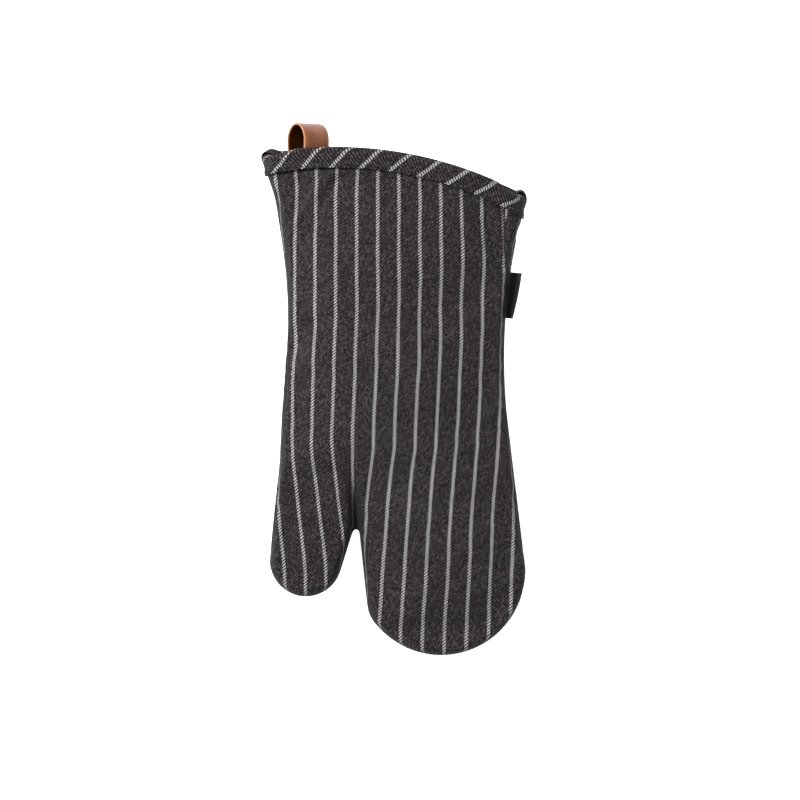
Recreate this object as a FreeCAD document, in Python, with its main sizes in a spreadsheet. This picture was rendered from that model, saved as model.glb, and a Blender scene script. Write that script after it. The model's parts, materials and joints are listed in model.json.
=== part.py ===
"""Oven mitt with a bound cuff, a leather hanging loop and a woven side label.

The mitt lies on its back: +X to the label side, +Y to the cuff, +Z up through its front.
Its origin is on the table, under the middle of its bounding box. Lengths are in millimetres.
Each side is a dish of three plies: outer cloth, wadding and lining. The two dishes meet at the
seam plane and leave the hand's space between them, open at the cuff.
"""
import FreeCAD
import Part
import math
import os
from types import SimpleNamespace

import Sketcher
from FreeCAD import Placement, Rotation, Vector

SIZES = [
    # Outline, seen from the front, with rises measured from the fingertips
    ("mitt_length", 330.9, "fingertips to the crest of the cuff"),
    ("thumb_left_x", -80.9, "outer side of the thumb"),
    ("thumb_width", 46.6, "width of the thumb, rounded at its end"),
    ("thumb_setback", 38.1, "fingertips to the end of the thumb"),
    ("thumb_crotch_run", 9.3, "inner side of the thumb to the crotch, across"),
    ("crotch_finger_run", 7.1, "crotch to the near side of the fingers, across"),
    ("crotch_rise", 82.0, "fingertips to the crotch"),
    ("crotch_radius", 3.0, "round of the crotch"),
    ("finger_width", 102.7, "width of the finger end"),
    ("finger_corner_radius", 25.0, "round of the finger end beside the thumb"),
    ("tip_fullness", 3.15, "fingertip round, over half the finger width"),
    ("waist_left_x", -69.2, "waist on the thumb side"),
    ("waist_left_rise", 218.0, "fingertips to that waist"),
    ("left_flare_radius", 330.0, "flare from that waist to the cuff"),
    ("waist_right_x", 71.2, "waist on the label side"),
    ("waist_right_rise", 193.0, "fingertips to that waist"),
    ("right_flare_radius", 370.0, "flare from that waist to the cuff"),
    ("cuff_crest_x", -38.5, "highest point of the cuff, across"),
    ("cuff_radius", 260.0, "arc of the cuff's edge"),
    # Depths and plies
    ("back_depth", 18.0, "table to the seam plane"),
    ("front_depth", 22.0, "seam plane to the front face"),
    ("back_round", 14.0, "round between the side and the back face"),
    ("front_round", 17.0, "round between the side and the front face"),
    ("cloth", 0.9, "outer twill"),
    ("wadding", 6.5, "insulating wadding"),
    ("lining", 0.6, "lining cloth"),
    ("ply_gap", 0.15, "clearance between plies"),
    # Cuff binding, a bias strip folded over each panel's edge
    ("binding_width", 15.0, "edge of the cuff to the fold of the binding"),
    ("binding_cloth", 1.3, "two plies of bias twill"),
    ("step_run", 1.5, "length of the step where the binding presses the panel in"),
    ("stitch_margin", 2.0, "fold of the binding to its stitching"),
    ("thread", 0.6, "sewing thread"),
    ("thread_gap", 0.1, "clearance round a thread"),
    ("perimeter_margin", 3.7, "side of the mitt to its perimeter stitching"),
    # Leather hanging loop
    ("strap_width", 19.5, "leather strip"),
    ("strap_thickness", 1.5, "leather strip"),
    ("eye_width", 19.5, "outside of the open loop, across"),
    ("eye_height", 11.8, "outside of the open loop, along the mitt"),
    ("loop_x", -56.2, "middle of the loop"),
    ("loop_height", 18.5, "table to the middle of the open loop"),
    ("loop_turn", 37.0, "turn of the open loop about the mitt's length, degrees"),
    ("loop_rise", 14.9, "crest of the cuff to the top of the loop"),
    ("tail_length", 18.0, "sewn part of the strip's two ends"),
    ("twist_run", 12.0, "length in which the strip turns and lifts off the lining"),
    ("flex_gap", 1.8, "bare flex line between the open loop and the ends"),
    ("stitch_length", 3.2, "one stitch of the loop's sewn box"),
    ("stitch_pitch", 4.0, "one stitch to the next"),
    ("stitch_box_margin", 3.0, "edge of the strip's ends to the sewn box"),
    # Woven label in the side seam
    ("label_rise", 234.0, "fingertips to the middle of the label"),
    ("label_length", 30.0, "along the seam"),
    ("label_width", 9.0, "free part, out from the seam"),
    ("label_thickness", 0.8, "folded ribbon, two plies"),
    ("label_gap", 1.2, "side seam to the label's free part"),
    ("label_flex", 0.7, "bare flex line between the free part and the sewn ends"),
    ("label_tail", 7.0, "sewn ends, in from the side seam"),
]
PAST_CUFF = 40.0  # how far raw shapes run past the cuff before they are trimmed to its arc
PAST_SEAM = 3.0  # how far they run past the seam plane before they are trimmed to it
FLAT = 0.001  # two heights closer than this are one plane


class Size:
    """A length that keeps its formula, so that one line both places geometry and binds a property."""

    def __init__(self, text, value):
        self.text = text
        self.value = value

    def joined(self, sign, other, value):
        return Size(f"({self.text} {sign} {as_size(other).text})", value)

    def __add__(self, other):
        return self.joined("+", other, self.value + as_size(other).value)

    def __sub__(self, other):
        return self.joined("-", other, self.value - as_size(other).value)

    def __mul__(self, other):
        return self.joined("*", other, self.value * as_size(other).value)

    def __truediv__(self, other):
        return self.joined("/", other, self.value / as_size(other).value)


def as_size(number):
    return number if isinstance(number, Size) else Size(repr(number), number)


def make_sheet(doc):
    """The spreadsheet of driving sizes, and the same sizes for use in formulas."""
    sheet = doc.addObject("Spreadsheet::Sheet", "Dims")
    sizes = SimpleNamespace()
    for row, (alias, value, meaning) in enumerate(SIZES, start=1):
        sheet.set(f"A{row}", alias)
        sheet.set(f"B{row}", str(value))
        sheet.setAlias(f"B{row}", alias)
        sheet.set(f"C{row}", meaning)
        setattr(sizes, alias, Size(f"Dims.{alias}", value))
    return sizes


def derive(d):
    """Adds the places that follow from the driving sizes."""
    d.tip_y = (d.mitt_length + d.loop_rise) * -0.5
    d.seam_z = d.back_depth + 0.0
    d.crotch_x = d.thumb_left_x + d.thumb_width + d.thumb_crotch_run
    d.finger_left_x = d.crotch_x + d.crotch_finger_run
    d.tip_radius = d.finger_width / 2 + d.tip_fullness
    d.left_centre = (d.waist_left_x - d.left_flare_radius, d.tip_y + d.waist_left_rise)
    d.right_centre = (d.waist_right_x + d.right_flare_radius, d.tip_y + d.waist_right_rise)
    d.cuff_centre = (d.cuff_crest_x, d.tip_y + d.mitt_length - d.cuff_radius)
    # Insets of the plies from the mitt's outer face
    d.wadding_out = d.cloth + d.ply_gap
    d.wadding_in = d.wadding_out + d.wadding
    d.lining_out = d.wadding_in + d.ply_gap
    d.lining_in = d.lining_out + d.lining
    d.pressed_out = d.binding_cloth + d.ply_gap
    d.pressed_in = d.pressed_out + d.cloth
    # Radii of the cuff's arcs, all about the cuff centre
    d.panel_edge_r = d.cuff_radius - d.binding_cloth - d.ply_gap
    d.binding_fold_r = d.cuff_radius - d.binding_width
    d.step_r = d.binding_fold_r - d.ply_gap
    d.step_start_r = d.step_r - d.step_run
    d.stitch_r = d.binding_fold_r + d.stitch_margin
    return d


def front(d):
    """The front side: which way it rises from the seam plane, its depth and its round."""
    return SimpleNamespace(name="front", up=True, depth=d.front_depth, round=d.front_round)


def back(d):
    return SimpleNamespace(name="back", up=False, depth=d.back_depth, round=d.back_round)


def outline_rounds(d, inset):
    """The outline's rounds, counter-clockwise: centre, radius and turn, +1 if convex, -1 if hollow."""
    tip_centre = (d.finger_left_x + d.finger_width - d.tip_radius, d.tip_y + d.tip_radius)
    corner_x = d.finger_left_x + d.finger_corner_radius
    reach = d.tip_radius.value - d.finger_corner_radius.value
    drop = math.sqrt(reach ** 2 - (corner_x.value - tip_centre[0].value) ** 2)
    corner_y = Size(None, tip_centre[1].value - drop)  # it follows from touching the tip's round
    thumb_radius = d.thumb_width / 2
    thumb_centre = (d.thumb_left_x + thumb_radius, d.tip_y + d.thumb_setback + thumb_radius)
    crotch_centre = (d.crotch_x, d.tip_y + d.crotch_rise - d.crotch_radius)
    return [
        ("right_waist", d.right_centre, d.right_flare_radius + inset, -1),
        ("left_waist", d.left_centre, d.left_flare_radius + inset, -1),
        ("thumb", thumb_centre, thumb_radius - inset, 1),
        ("crotch", crotch_centre, d.crotch_radius + inset, -1),
        ("corner", (corner_x, corner_y), d.finger_corner_radius - inset, 1),
        ("tip", tip_centre, d.tip_radius - inset, 1),
    ]


def tangent_points(first, second):
    """Where the straight that leaves the first round and joins the second touches each."""
    ax, ay, ar = first[1][0].value, first[1][1].value, first[3] * first[2].value
    bx, by, br = second[1][0].value, second[1][1].value, second[3] * second[2].value
    apart = math.hypot(bx - ax, by - ay)
    heading = math.atan2(by - ay, bx - ax) + math.asin((ar - br) / apart)
    out = Vector(math.sin(heading), -math.cos(heading), 0)
    return Vector(ax, ay, 0) + out * ar, Vector(bx, by, 0) + out * br


def touching_point(corner, tip):
    """Where the finger corner's round touches the tip's round from inside."""
    c = Vector(corner[1][0].value, corner[1][1].value, 0)
    t = Vector(tip[1][0].value, tip[1][1].value, 0)
    return t + (c - t).normalize() * tip[2].value


def flare_end(flare, top_y):
    """Where a waist's round reaches the height at which raw shapes end."""
    (x, y), r = [c.value for c in flare[1]], flare[2].value
    side = -1 if x > 0 else 1
    return Vector(x + side * math.sqrt(r ** 2 - (top_y.value - y) ** 2), top_y.value, 0)


def arc_between(item, start, end):
    """An arc of a round, from where the outline enters it to where it leaves it."""
    centre = Vector(item[1][0].value, item[1][1].value, 0)
    if item[3] < 0:
        start, end = end, start
    angles = [math.atan2(p.y - centre.y, p.x - centre.x) for p in (start, end)]
    if angles[1] < angles[0]:
        angles[1] += 2 * math.pi
    circle = Part.Circle(centre, Vector(0, 0, 1), item[2].value)
    return Part.ArcOfCircle(circle, angles[0], angles[1])


def bind(sketch, name, constraint, size):
    """Adds a constraint and ties it to a formula of the sheet."""
    index = sketch.addConstraint(constraint)
    sketch.renameConstraint(index, name)
    sketch.setExpression(f"Constraints.{name}", size.text)


def bind_centre(sketch, geometry, name, centre, point=3):
    """Places a centre by its distances from the origin."""
    for kind, size in zip(("DistanceX", "DistanceY"), centre):
        if size.text is not None:
            constraint = Sketcher.Constraint(kind, -1, 1, geometry, point, size.value)
            bind(sketch, f"{name}_{kind[-1].lower()}", constraint, size)


def new_sketch(body, name, height):
    """A sketch on the body's XY plane, lifted to a height."""
    sketch = body.newObject("Sketcher::SketchObject", name)
    plane = next(f for f in body.Origin.OriginFeatures if f.Role == "XY_Plane")
    sketch.AttachmentSupport = [(plane, "")]
    sketch.MapMode = "FlatFace"
    sketch.setExpression("AttachmentOffset.Base.z", height.text)
    return sketch


def outline_sketch(d, body, name, height, inset, past):
    """The mitt's outline, inset from its side, as rounds joined by tangent straights.

    At the cuff it runs on past the edge, where a straight closes it.
    """
    sketch = new_sketch(body, name, height)
    rounds = outline_rounds(d, inset)
    right, left, thumb, crotch, corner, tip = rounds
    top_y = d.tip_y + d.mitt_length + past
    right_in = tangent_points(tip, right)
    left_out = tangent_points(left, thumb)
    inner_thumb = tangent_points(thumb, crotch)
    inner_finger = tangent_points(crotch, corner)
    touch = touching_point(corner, tip)
    right_top, left_top = flare_end(right, top_y), flare_end(left, top_y)
    geometry = [
        arc_between(right, right_in[1], right_top),
        Part.LineSegment(right_top, left_top),
        arc_between(left, left_top, left_out[0]),
        Part.LineSegment(*left_out),
        arc_between(thumb, left_out[1], inner_thumb[0]),
        Part.LineSegment(*inner_thumb),
        arc_between(crotch, inner_thumb[1], inner_finger[0]),
        Part.LineSegment(*inner_finger),
        arc_between(corner, inner_finger[1], touch),
        arc_between(tip, touch, right_in[0]),
        Part.LineSegment(*right_in),
    ]
    sketch.addGeometry(geometry, False)
    entry = {0: 2, 2: 2, 6: 2}  # the end at which the outline enters a hollow arc
    for index in range(len(geometry)):
        following = (index + 1) % len(geometry)
        leave = 1 if index in entry else 2
        kind = "Coincident" if 1 in (index, following) else "Tangent"
        ends = (index, leave, following, entry.get(following, 1))
        sketch.addConstraint(Sketcher.Constraint(kind, *ends))
    sketch.addConstraint(Sketcher.Constraint("Horizontal", 1))
    bind(sketch, "top_y", Sketcher.Constraint("DistanceY", -1, 1, 1, 1, top_y.value), top_y)
    for index, item in zip((0, 2, 4, 6, 8, 9), rounds):
        bind_centre(sketch, index, item[0], item[1])
        radius = Sketcher.Constraint("Radius", index, item[2].value)
        bind(sketch, f"{item[0]}_radius", radius, item[2])
    return sketch


def circles_sketch(d, body, name, height, radii):
    """One or two circles about the cuff centre."""
    sketch = new_sketch(body, name, height)
    for index, radius in enumerate(radii):
        centre = Vector(d.cuff_centre[0].value, d.cuff_centre[1].value, 0)
        circle = Part.Circle(centre, Vector(0, 0, 1), radius.value)
        sketch.addGeometry(circle, False)
        bind_centre(sketch, index, f"centre{index}", d.cuff_centre)
        bind(sketch, f"radius{index}", Sketcher.Constraint("Radius", index, radius.value), radius)
    return sketch


def pad_from(body, name, sketch, length, up):
    """A pad that rises from its sketch, or hangs from it."""
    pad = body.newObject("PartDesign::Pad", name)
    pad.Profile = sketch
    pad.setExpression("Length", length.text)
    pad.Reversed = not up
    return pad


def dome(doc, d, side, name, inset):
    """All that lies inside one inset of a side's outer face, past the seam plane and the cuff."""
    body = doc.addObject("PartDesign::Body", f"{name}_{side.name}")
    sign = 1 if side.up else -1
    start = d.seam_z - as_size(PAST_SEAM) * sign
    outline = outline_sketch(d, body, f"{body.Name}_outline", start, inset, as_size(PAST_CUFF))
    length = side.depth - inset + PAST_SEAM
    pad = pad_from(body, f"{body.Name}_block", outline, length, side.up)
    doc.recompute()
    crown = (d.seam_z + (side.depth - inset) * sign).value
    top_y = (d.tip_y + d.mitt_length + PAST_CUFF).value
    rim = [
        f"Edge{i}"
        for i, edge in enumerate(pad.Shape.Edges, start=1)
        if abs(edge.BoundBox.ZMin - crown) < FLAT
        and abs(edge.BoundBox.ZMax - crown) < FLAT
        and edge.BoundBox.YMin < top_y - FLAT
    ]
    fillet = body.newObject("PartDesign::Fillet", f"{body.Name}_shoulder")
    fillet.Base = (pad, rim)
    fillet.setExpression("Radius", (side.round - inset).text)
    return body


def disc(doc, d, side, name, outer, inner=None):
    """The space of one side within an arc about the cuff centre, and outside a second."""
    body = doc.addObject("PartDesign::Body", f"{name}_{side.name}")
    base = d.seam_z + d.ply_gap * (1 if side.up else -1)
    radii = [outer] if inner is None else [outer, inner]
    sketch = circles_sketch(d, body, f"{body.Name}_arcs", base, radii)
    pad_from(body, f"{body.Name}_pad", sketch, side.depth + PAST_SEAM, side.up)
    return body


def boolean(doc, kind, name, first, second):
    """Part::Cut, Part::Fuse or Part::Common of two shapes."""
    result = doc.addObject(f"Part::{kind}", name)
    result.Base, result.Tool = first, second
    return result


def seam_ring(doc, d, name, margin, width, height):
    """A flat ring at the seam plane that follows the outline, as far as the binding."""
    body = doc.addObject("PartDesign::Body", name)
    past = as_size(PAST_CUFF)
    outline = outline_sketch(d, body, f"{name}_outline", d.seam_z, margin, past)
    pad = pad_from(body, f"{name}_block", outline, height, True)
    pad.Midplane = True
    inner = outline_sketch(d, body, f"{name}_inner", d.seam_z, margin + width, past * 2)
    beyond = circles_sketch(d, body, f"{name}_arcs", d.seam_z, [d.step_r, d.step_r + PAST_CUFF * 4])
    for sketch in (inner, beyond):
        pocket = body.newObject("PartDesign::Pocket", f"{sketch.Name}_pocket")
        pocket.Profile = sketch
        pocket.Type = "ThroughAll"
        pocket.Midplane = True
    return body


def make_side(doc, d, side, groove, slot):
    """The plies, binding and binding thread of one side."""
    n = side.name
    zero = as_size(0.0)
    edge = disc(doc, d, side, "panel_limit", d.panel_edge_r)
    face = dome(doc, d, side, "face", zero)

    # Outer cloth: full size as far as the binding, pressed in beneath it
    full = boolean(doc, "Common", f"full_{n}", face, disc(doc, d, side, "step_limit", d.step_r))
    pressed = boolean(doc, "Common", f"pressed_{n}", dome(doc, d, side, "pressed", d.pressed_out), edge)
    cloth = boolean(doc, "Fuse", f"cloth_solid_{n}", full, pressed)
    under = dome(doc, d, side, "under_cloth", d.cloth)
    under_limit = disc(doc, d, side, "under_limit", d.step_start_r)
    room = boolean(doc, "Common", f"under_room_{n}", under, under_limit)
    hollow = boolean(doc, "Cut", f"hollow_{n}", cloth, room)
    sheet = boolean(doc, "Cut", f"cloth_{n}", hollow, dome(doc, d, side, "pressed_in", d.pressed_in))
    outer = boolean(doc, "Cut", f"outer_{n}", sheet, slot)

    # Wadding, with room for the perimeter thread and for the label's sewn ends
    loft_limit = disc(doc, d, side, "wadding_limit", d.step_start_r - d.ply_gap)
    loft = boolean(doc, "Common", f"loft_{n}", dome(doc, d, side, "wadding_out", d.wadding_out), loft_limit)
    held_dome = dome(doc, d, side, "wadding_held", d.pressed_in + d.ply_gap)
    held = boolean(doc, "Common", f"held_{n}", held_dome, edge)
    pile = boolean(doc, "Fuse", f"wadding_solid_{n}", loft, held)
    pile = boolean(doc, "Cut", f"wadding_hollow_{n}", pile, dome(doc, d, side, "wadding_in", d.wadding_in))
    pile = boolean(doc, "Cut", f"wadding_grooved_{n}", pile, groove)
    wadding = boolean(doc, "Cut", f"wadding_{n}", pile, slot)

    # Lining
    skin = boolean(doc, "Common", f"lining_solid_{n}", dome(doc, d, side, "lining_out", d.lining_out), edge)
    lining_in = dome(doc, d, side, "lining_in", d.lining_in)
    lining = boolean(doc, "Cut", f"lining_{n}", skin, lining_in)

    # Binding: a strip round the panel's edge, with a groove for its thread
    band = disc(doc, d, side, "band", d.cuff_radius, d.binding_fold_r)
    strip = boolean(doc, "Common", f"strip_{n}", face, band)
    inner_face = dome(doc, d, side, "binding_inner", d.lining_in + d.ply_gap + d.binding_cloth)
    strip = boolean(doc, "Cut", f"strip_open_{n}", strip, inner_face)
    wrapped = disc(doc, d, side, "wrapped_limit", d.panel_edge_r + d.ply_gap)
    stack = boolean(doc, "Common", f"stack_solid_{n}", dome(doc, d, side, "wrapped", d.binding_cloth), wrapped)
    bed = dome(doc, d, side, "binding_bed", d.lining_in + d.ply_gap)
    stack = boolean(doc, "Cut", f"stack_{n}", stack, bed)
    strip = boolean(doc, "Cut", f"binding_folded_{n}", strip, stack)
    clear = disc(doc, d, side, "clear_band", d.stitch_r + d.thread + d.thread_gap, d.stitch_r - d.thread_gap)
    below = dome(doc, d, side, "below_thread", d.thread + d.thread_gap)
    channel = boolean(doc, "Cut", f"channel_{n}", clear, below)
    binding = boolean(doc, "Cut", f"binding_{n}", strip, channel)

    # Binding thread
    line = disc(doc, d, side, "thread_band", d.stitch_r + d.thread, d.stitch_r)
    laid = boolean(doc, "Common", f"thread_solid_{n}", face, line)
    thread = boolean(doc, "Cut", f"binding_thread_{n}", laid, dome(doc, d, side, "thread_in", d.thread))
    return [outer, wadding, lining, binding, thread]


def loop_frame(d):
    """Where the open loop flexes: the middle of its root, and its way across, along and out."""
    turn = math.radians(d.loop_turn.value)
    root_y = d.tip_y + d.mitt_length + d.loop_rise - d.eye_height
    across = Vector(math.cos(turn), 0, -math.sin(turn))
    out = Vector(math.sin(turn), 0, math.cos(turn))
    return Vector(d.loop_x.value, root_y.value, d.loop_height.value), across, out


def slot_wire(half_width, low, high, level):
    """A slot across Z at a level: straights at low and high Y, joined by half circles."""
    middle = (low + high) / 2
    run = half_width - (high - low) / 2
    start, end = Vector(-run, low, level), Vector(run, low, level)
    back_start, back_end = Vector(run, high, level), Vector(-run, high, level)
    edges = [
        Part.LineSegment(start, end).toShape(),
        Part.Arc(end, Vector(half_width, middle, level), back_start).toShape(),
        Part.LineSegment(back_start, back_end).toShape(),
        Part.Arc(back_end, Vector(-half_width, middle, level), start).toShape(),
    ]
    return Part.Wire(edges)


def hang_loop(doc, d):
    """The open part of the leather loop: a flattened ring of the strip, closed at its root."""
    thickness, width = d.strap_thickness.value, d.strap_width.value
    half, top = d.eye_width.value / 2, d.eye_height.value
    outside = slot_wire(half, 0, top, -width / 2)
    inside = slot_wire(half - thickness, thickness, top - thickness, -width / 2)
    ring = Part.Face(outside).cut(Part.Face(inside)).extrude(Vector(0, 0, width))
    root, across, out = loop_frame(d)
    feature = doc.addObject("Part::Feature", "hang_loop")
    feature.Shape = ring
    # The ring is drawn with its hole along local Z: that becomes the strip's width.
    turn = Rotation(out, Vector(0, 1, 0), across * -1, "ZXY")
    feature.Placement = Placement(root, turn)
    return feature


def strip_section(centre, across, thick, width, height):
    """A rectangle of the strip's section, standing across its length."""
    a, b = across * (width / 2), thick * (height / 2)
    corners = [centre - a - b, centre + a - b, centre + a + b, centre - a + b]
    return Part.makePolygon(corners + corners[:1])


def loop_tails(doc, d):
    """The strip's two ends, one on the other: sewn flat to the lining, then turning to the loop."""
    width, height = d.strap_width.value, 2 * d.strap_thickness.value
    root, across, out = loop_frame(d)
    bed = (d.lining_in + d.ply_gap * 2 + d.binding_cloth).value
    flat_z = bed + height / 2
    top_y = root.y - d.flex_gap.value
    bend_y = top_y - d.twist_run.value
    flat = Vector(root.x, bend_y - d.tail_length.value, flat_z)
    turn = math.radians(d.loop_turn.value)
    sections = []
    for share in (0.0, 0.25, 0.5, 0.75, 1.0):
        ease = share * share * (3 - 2 * share)
        angle = turn * ease
        centre = Vector(root.x, bend_y + share * (top_y - bend_y),
                        flat_z + ease * (root.z - flat_z))
        way = Vector(math.cos(angle), 0, -math.sin(angle))
        normal = Vector(math.sin(angle), 0, math.cos(angle))
        sections.append(strip_section(centre, way, normal, width, height))
    twisted = Part.makeLoft(sections, True, True)
    start = strip_section(flat, Vector(1, 0, 0), Vector(0, 0, 1), width, height)
    sewn = Part.Face(start).extrude(Vector(0, d.tail_length.value, 0))
    feature = doc.addObject("Part::Feature", "loop_tails")
    feature.Shape = sewn.fuse(twisted)
    return feature, flat, height


def loop_stitching(doc, d, flat, height):
    """A sewn box of single stitches that holds the strip's ends to the cuff."""
    margin, size = d.stitch_box_margin.value, d.thread.value
    across = d.strap_width.value - 2 * margin
    along = d.tail_length.value - 2 * margin
    low = Vector(flat.x - across / 2, flat.y + margin, flat.z + height / 2)
    stitches = []
    for run, length, square in ((Vector(1, 0, 0), across, along), (Vector(0, 1, 0), along, across)):
        other = Vector(run.y, run.x, 0)
        count = int(length / d.stitch_pitch.value)
        spare = (length - count * d.stitch_pitch.value) / 2
        first = spare + (d.stitch_pitch.value - d.stitch_length.value) / 2
        for line in (0.0, square):
            for index in range(count):
                start = low + run * (first + index * d.stitch_pitch.value) + other * (line - size / 2)
                box = run * d.stitch_length.value + other * size
                stitch = Part.makeBox(box.x, box.y, size / 2, start)
                stitches.append(stitch)
    feature = doc.addObject("Part::Feature", "loop_stitching")
    feature.Shape = Part.makeCompound(stitches)
    return feature


def label_frame(d):
    """Where the label leaves the flared side: its middle, and its way out from the seam."""
    centre_x, centre_y = (c.value for c in d.right_centre)
    radius = d.right_flare_radius.value
    rise = (d.tip_y + d.label_rise).value - centre_y
    lean = math.asin(rise / radius)
    out = Vector(math.cos(lean), -math.sin(lean), 0)
    return Vector(centre_x, centre_y, d.seam_z.value) - out * radius, out


def label_box(doc, d, name, start, width, gap):
    """A flat box of the ribbon in the seam plane, from a distance out of the side seam."""
    box = doc.addObject("Part::Box", name)
    box.setExpression("Length", width.text)
    box.setExpression("Width", (d.label_length + gap * 2).text)
    box.setExpression("Height", (d.label_thickness + gap * 2).text)
    root, out = label_frame(d)
    turn = Rotation(Vector(0, 0, 1), math.degrees(math.atan2(out.y, out.x)))
    half_length = d.label_length.value / 2 + gap.value
    half_thickness = d.label_thickness.value / 2 + gap.value
    corner = Vector(start.value, -half_length, -half_thickness)
    box.Placement = Placement(root + turn.multVec(corner), turn)
    return box


def side_label(doc, d):
    """The label's free part, its sewn ends, and the slot that they take in the seam."""
    none, gap = as_size(0.0), d.ply_gap
    sewn_width = d.label_tail + d.label_gap - d.label_flex
    free = label_box(doc, d, "side_label", d.label_gap, d.label_width, none)
    sewn = label_box(doc, d, "side_label_tail", d.label_tail * -1, sewn_width, none)
    slot = label_box(doc, d, "label_slot", (d.label_tail + gap) * -1, sewn_width + gap * 2, gap)
    return free, sewn, slot


def check(doc, parts):
    """Stops at any failed feature or unsound solid."""
    failed = [o.Name for o in doc.Objects if {"Invalid", "Error"} & set(o.State)]
    if failed:
        raise RuntimeError(f"these objects failed: {failed}")
    for part in parts:
        shape = part.Shape
        if shape.isNull() or not shape.isValid() or not shape.Solids:
            raise RuntimeError(f"{part.Label} has no sound solid")


def main():
    doc = FreeCAD.newDocument("oven_mitt")
    d = derive(make_sheet(doc))
    doc.recompute()
    label, label_tail, slot = side_label(doc, d)
    groove_width = d.thread + d.thread_gap * 2
    groove = seam_ring(doc, d, "thread_groove", d.perimeter_margin - d.thread_gap, groove_width,
                       groove_width)
    perimeter = seam_ring(doc, d, "perimeter_thread", d.perimeter_margin, d.thread, d.thread)
    tails, flat, height = loop_tails(doc, d)
    parts = [perimeter, label, label_tail, hang_loop(doc, d), tails]
    parts.append(loop_stitching(doc, d, flat, height))
    for side in (front(d), back(d)):
        parts += make_side(doc, d, side, groove, slot)
    doc.recompute()
    check(doc, parts)
    os.makedirs("parts", exist_ok=True)
    for part in parts:
        part.Shape.exportStep(f"parts/{part.Label}.step")
        box = part.Shape.optimalBoundingBox(False)
        print(f"{part.Label}: {len(part.Shape.Solids)} solids, {part.Shape.Volume / 1000:.2f} cm3, "
              f"x {box.XMin:.1f} {box.XMax:.1f} y {box.YMin:.1f} {box.YMax:.1f} "
              f"z {box.ZMin:.1f} {box.ZMax:.1f}")


main()
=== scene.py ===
"""Oven mitt of pinstriped twill, with a bound cuff, a leather hanging loop and a side label.

The mitt lies on its back: +X to the label side, +Y to the cuff, +Z up. Lengths are in metres.
"""

import json
import math
import random

import bmesh
import bpy
import numpy as np
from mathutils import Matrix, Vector
from mathutils.geometry import delaunay_2d_cdt


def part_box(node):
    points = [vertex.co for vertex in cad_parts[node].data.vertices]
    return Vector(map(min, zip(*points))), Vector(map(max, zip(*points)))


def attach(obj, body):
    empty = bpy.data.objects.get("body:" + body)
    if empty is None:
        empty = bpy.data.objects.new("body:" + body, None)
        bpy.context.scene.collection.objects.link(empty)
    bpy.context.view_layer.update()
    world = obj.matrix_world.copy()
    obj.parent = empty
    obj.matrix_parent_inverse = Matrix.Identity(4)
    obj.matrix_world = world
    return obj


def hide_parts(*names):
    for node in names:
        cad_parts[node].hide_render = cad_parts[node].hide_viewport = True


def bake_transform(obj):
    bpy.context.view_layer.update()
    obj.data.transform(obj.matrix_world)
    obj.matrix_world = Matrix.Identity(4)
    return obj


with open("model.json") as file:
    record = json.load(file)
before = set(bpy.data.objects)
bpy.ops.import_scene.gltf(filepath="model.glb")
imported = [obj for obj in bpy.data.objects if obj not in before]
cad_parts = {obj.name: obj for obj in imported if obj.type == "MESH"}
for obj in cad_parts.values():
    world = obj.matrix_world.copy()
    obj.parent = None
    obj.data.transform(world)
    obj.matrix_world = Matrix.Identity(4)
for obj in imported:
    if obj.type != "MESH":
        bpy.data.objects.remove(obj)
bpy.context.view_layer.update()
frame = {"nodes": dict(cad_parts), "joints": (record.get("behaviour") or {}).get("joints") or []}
MM = 0.001

# ---------------------------------------------------------------- places taken from the CAD
SEAM_Z = sum(corner.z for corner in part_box("perimeter_thread")) / 2
TIP_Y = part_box("outer_front")[0].y
CREST_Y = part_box("binding_front")[1].y
LOOP_JOINT, LABEL_JOINT = frame["joints"]
LOOP_ROOT = Vector(LOOP_JOINT["pos_m"])
LOOP_ACROSS = Vector(LOOP_JOINT["axis"])
LABEL_ROOT = Vector(LABEL_JOINT["pos_m"])
LABEL_ALONG = Vector(LABEL_JOINT["axis"])

# ---------------------------------------------------------------- the cut of the mitt
CUFF_RADIUS = 260 * MM
CUFF_CENTRE = Vector((-38.5 * MM, CREST_Y - CUFF_RADIUS))
BINDING_DEPTH = 15 * MM
CLOTH = 0.9 * MM
MESH_STEP = 2.6 * MM
SEAM_INSET = -0.2 * MM  # below zero, so the side seam stands this far outside the cut outline
STRIPE_PITCH = 13.29 * MM
STRIPE_START = -66.2 * MM
STRIPE_WIDTH = 2.0 * MM
CROTCH = Vector((-25.0 * MM, TIP_Y + 82 * MM))
CROTCH_RADIUS = 2.4 * MM


def outline_rounds(inset):
    """The outline's rounds, counter-clockwise from the thumb side of the cuff.

    Each is its centre, its radius and +1 if it is convex or -1 if it is hollow.
    """
    tip_radius = 54.5 * MM
    corner_radius = 25.0 * MM
    tip = Vector((30.3 * MM, TIP_Y + tip_radius))
    corner_x = 7.1 * MM
    reach = tip_radius - corner_radius
    corner = Vector((corner_x, tip.y - math.sqrt(reach ** 2 - (corner_x - tip.x) ** 2)))
    thumb_radius = 23.3 * MM
    left_waist, right_waist = 330 * MM, 370 * MM
    return [
        (Vector((-399.2 * MM, TIP_Y + 218 * MM)), left_waist + inset, -1),
        (Vector((-57.6 * MM, TIP_Y + 61.4 * MM)), thumb_radius - inset, 1),
        (CROTCH - Vector((0, CROTCH_RADIUS)), CROTCH_RADIUS + inset, -1),
        (corner, corner_radius - inset, 1),
        (tip, tip_radius - inset, 1),
        (Vector((441.2 * MM, TIP_Y + 193 * MM)), right_waist + inset, -1),
    ]


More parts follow.
